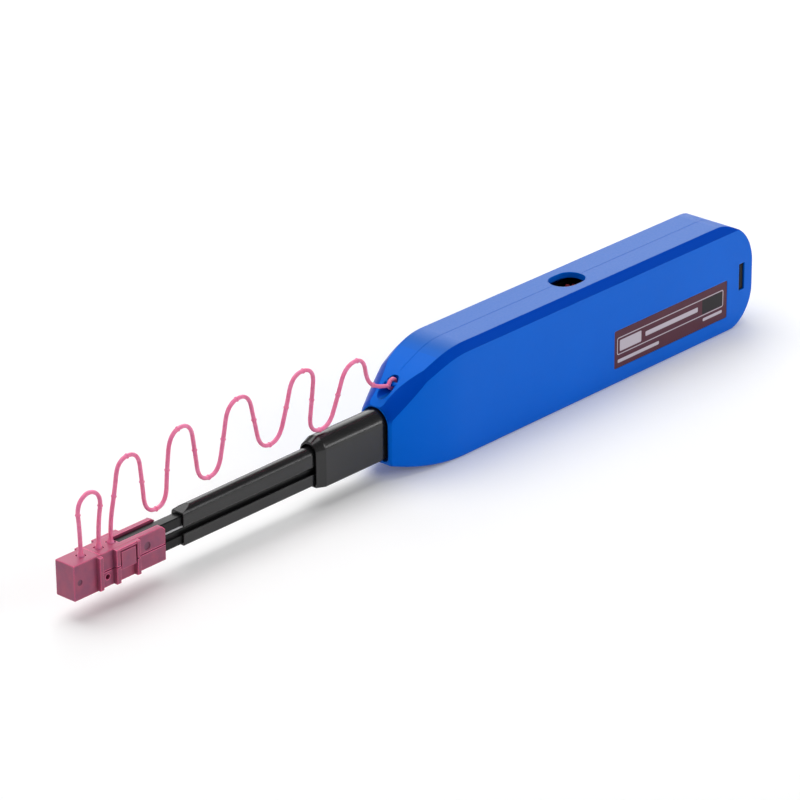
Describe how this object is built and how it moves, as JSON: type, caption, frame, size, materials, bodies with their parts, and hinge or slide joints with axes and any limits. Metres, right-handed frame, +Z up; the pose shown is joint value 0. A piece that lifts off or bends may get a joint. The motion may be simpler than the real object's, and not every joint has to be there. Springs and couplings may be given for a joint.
{
  "type": "fibre connector cleaning pen",
  "caption": "Push-to-wind cleaning pen for fibre connectors: a slab handle, a stepped black nozzle with a tape tip, and a guide cap and dust cap on a wavy tether.",
  "frame": {"origin": "centre of the pen's bounding box in plan, on the flat underside of the handle", "axes": "+X along the pen from the cleaning tip to the handle's rear, +Z up, -Y the side with the label"},
  "size_m": [0.25, 0.018, 0.0382],
  "materials": {
    "shell_blue": "satin moulded blue",
    "label_maroon": "smooth printed film",
    "sleeve_black": "semi-gloss black",
    "tip_black": "fine matte black",
    "tape_cloth": "fine woven microfibre",
    "chassis_black": "moulded black",
    "gear_white": "natural acetal",
    "reel_red": "dark red moulded",
    "steel": "ground steel",
    "cap_magenta": "translucent magenta",
    "tether_pink": "soft satin elastomer"
  },
  "bodies": {
    "handle": {"shell_left": "shell_blue", "shell_right": "shell_blue", "label_plate": "label_maroon", "slot_insert": "chassis_black", "drive_rack": "gear_white", "tether_ring": "tether_pink", "tether_strap": "tether_pink"},
    "carriage": {"outer_sleeve": "sleeve_black", "inner_sleeve": "sleeve_black", "tip_upper_rail": "tip_black", "tip_lower_rail": "tip_black", "tip_pad": "tip_black", "cleaning_tape": "tape_cloth", "carriage_frame": "chassis_black", "carriage_cover": "chassis_black", "feed_pin": "steel", "return_pin": "steel", "lower_front_pin": "steel", "lower_rear_pin": "steel", "ratchet_pawl": "gear_white", "brake_leaf": "steel", "return_spring": "steel", "supply_axle": "steel", "take_up_axle": "steel", "pinion_axle": "steel"},
    "pinion": {"drive_pinion": "gear_white"},
    "take_up": {"take_up_reel": "reel_red", "take_up_roll": "tape_cloth"},
    "supply": {"supply_reel": "gear_white", "supply_roll": "tape_cloth"},
    "guide": {"guide_cap": "cap_magenta", "tether_loop": "tether_pink"},
    "dust_cap": {"end_cap": "cap_magenta"}
  },
  "joints": [
    {"name": "push_slide", "type": "slide", "parent": "handle", "child": "carriage", "axis": [1, 0, 0], "range_m": [0, 0.01], "stiffness_N_per_m": 400, "springref_m": -0.01, "deforming": ["return_spring", "tether_strap"]},
    {"name": "pinion_spin", "type": "hinge", "parent": "carriage", "child": "pinion", "pos_m": [0.07389, 0, 0.0088], "axis": [0, 1, 0], "range_deg": [0, 120]},
    {"name": "take_up_spin", "type": "hinge", "parent": "carriage", "child": "take_up", "pos_m": [0.0584, 0, 0.0153], "axis": [0, 1, 0], "range_deg": [-48, 0]},
    {"name": "supply_spin", "type": "hinge", "parent": "carriage", "child": "supply", "pos_m": [0.0323, 0, 0.0153], "axis": [0, 1, 0], "range_deg": [-38, 0]},
    {"name": "guide_cap_slide", "type": "slide", "parent": "carriage", "child": "guide", "axis": [-1, 0, 0], "range_m": [0, 0.022], "deforming": ["tether_strap"]},
    {"name": "end_cap_slide", "type": "slide", "parent": "guide", "child": "dust_cap", "axis": [-1, 0, 0], "range_m": [0, 0.006], "deforming": ["tether_loop"]}
  ],
  "couplings": [
    {"joint": "pinion_spin", "follows": "push_slide", "rad_per_m": 208.33},
    {"joint": "take_up_spin", "follows": "push_slide", "rad_per_m": -83.333},
    {"joint": "supply_spin", "follows": "push_slide", "rad_per_m": -65.374}
  ]
}
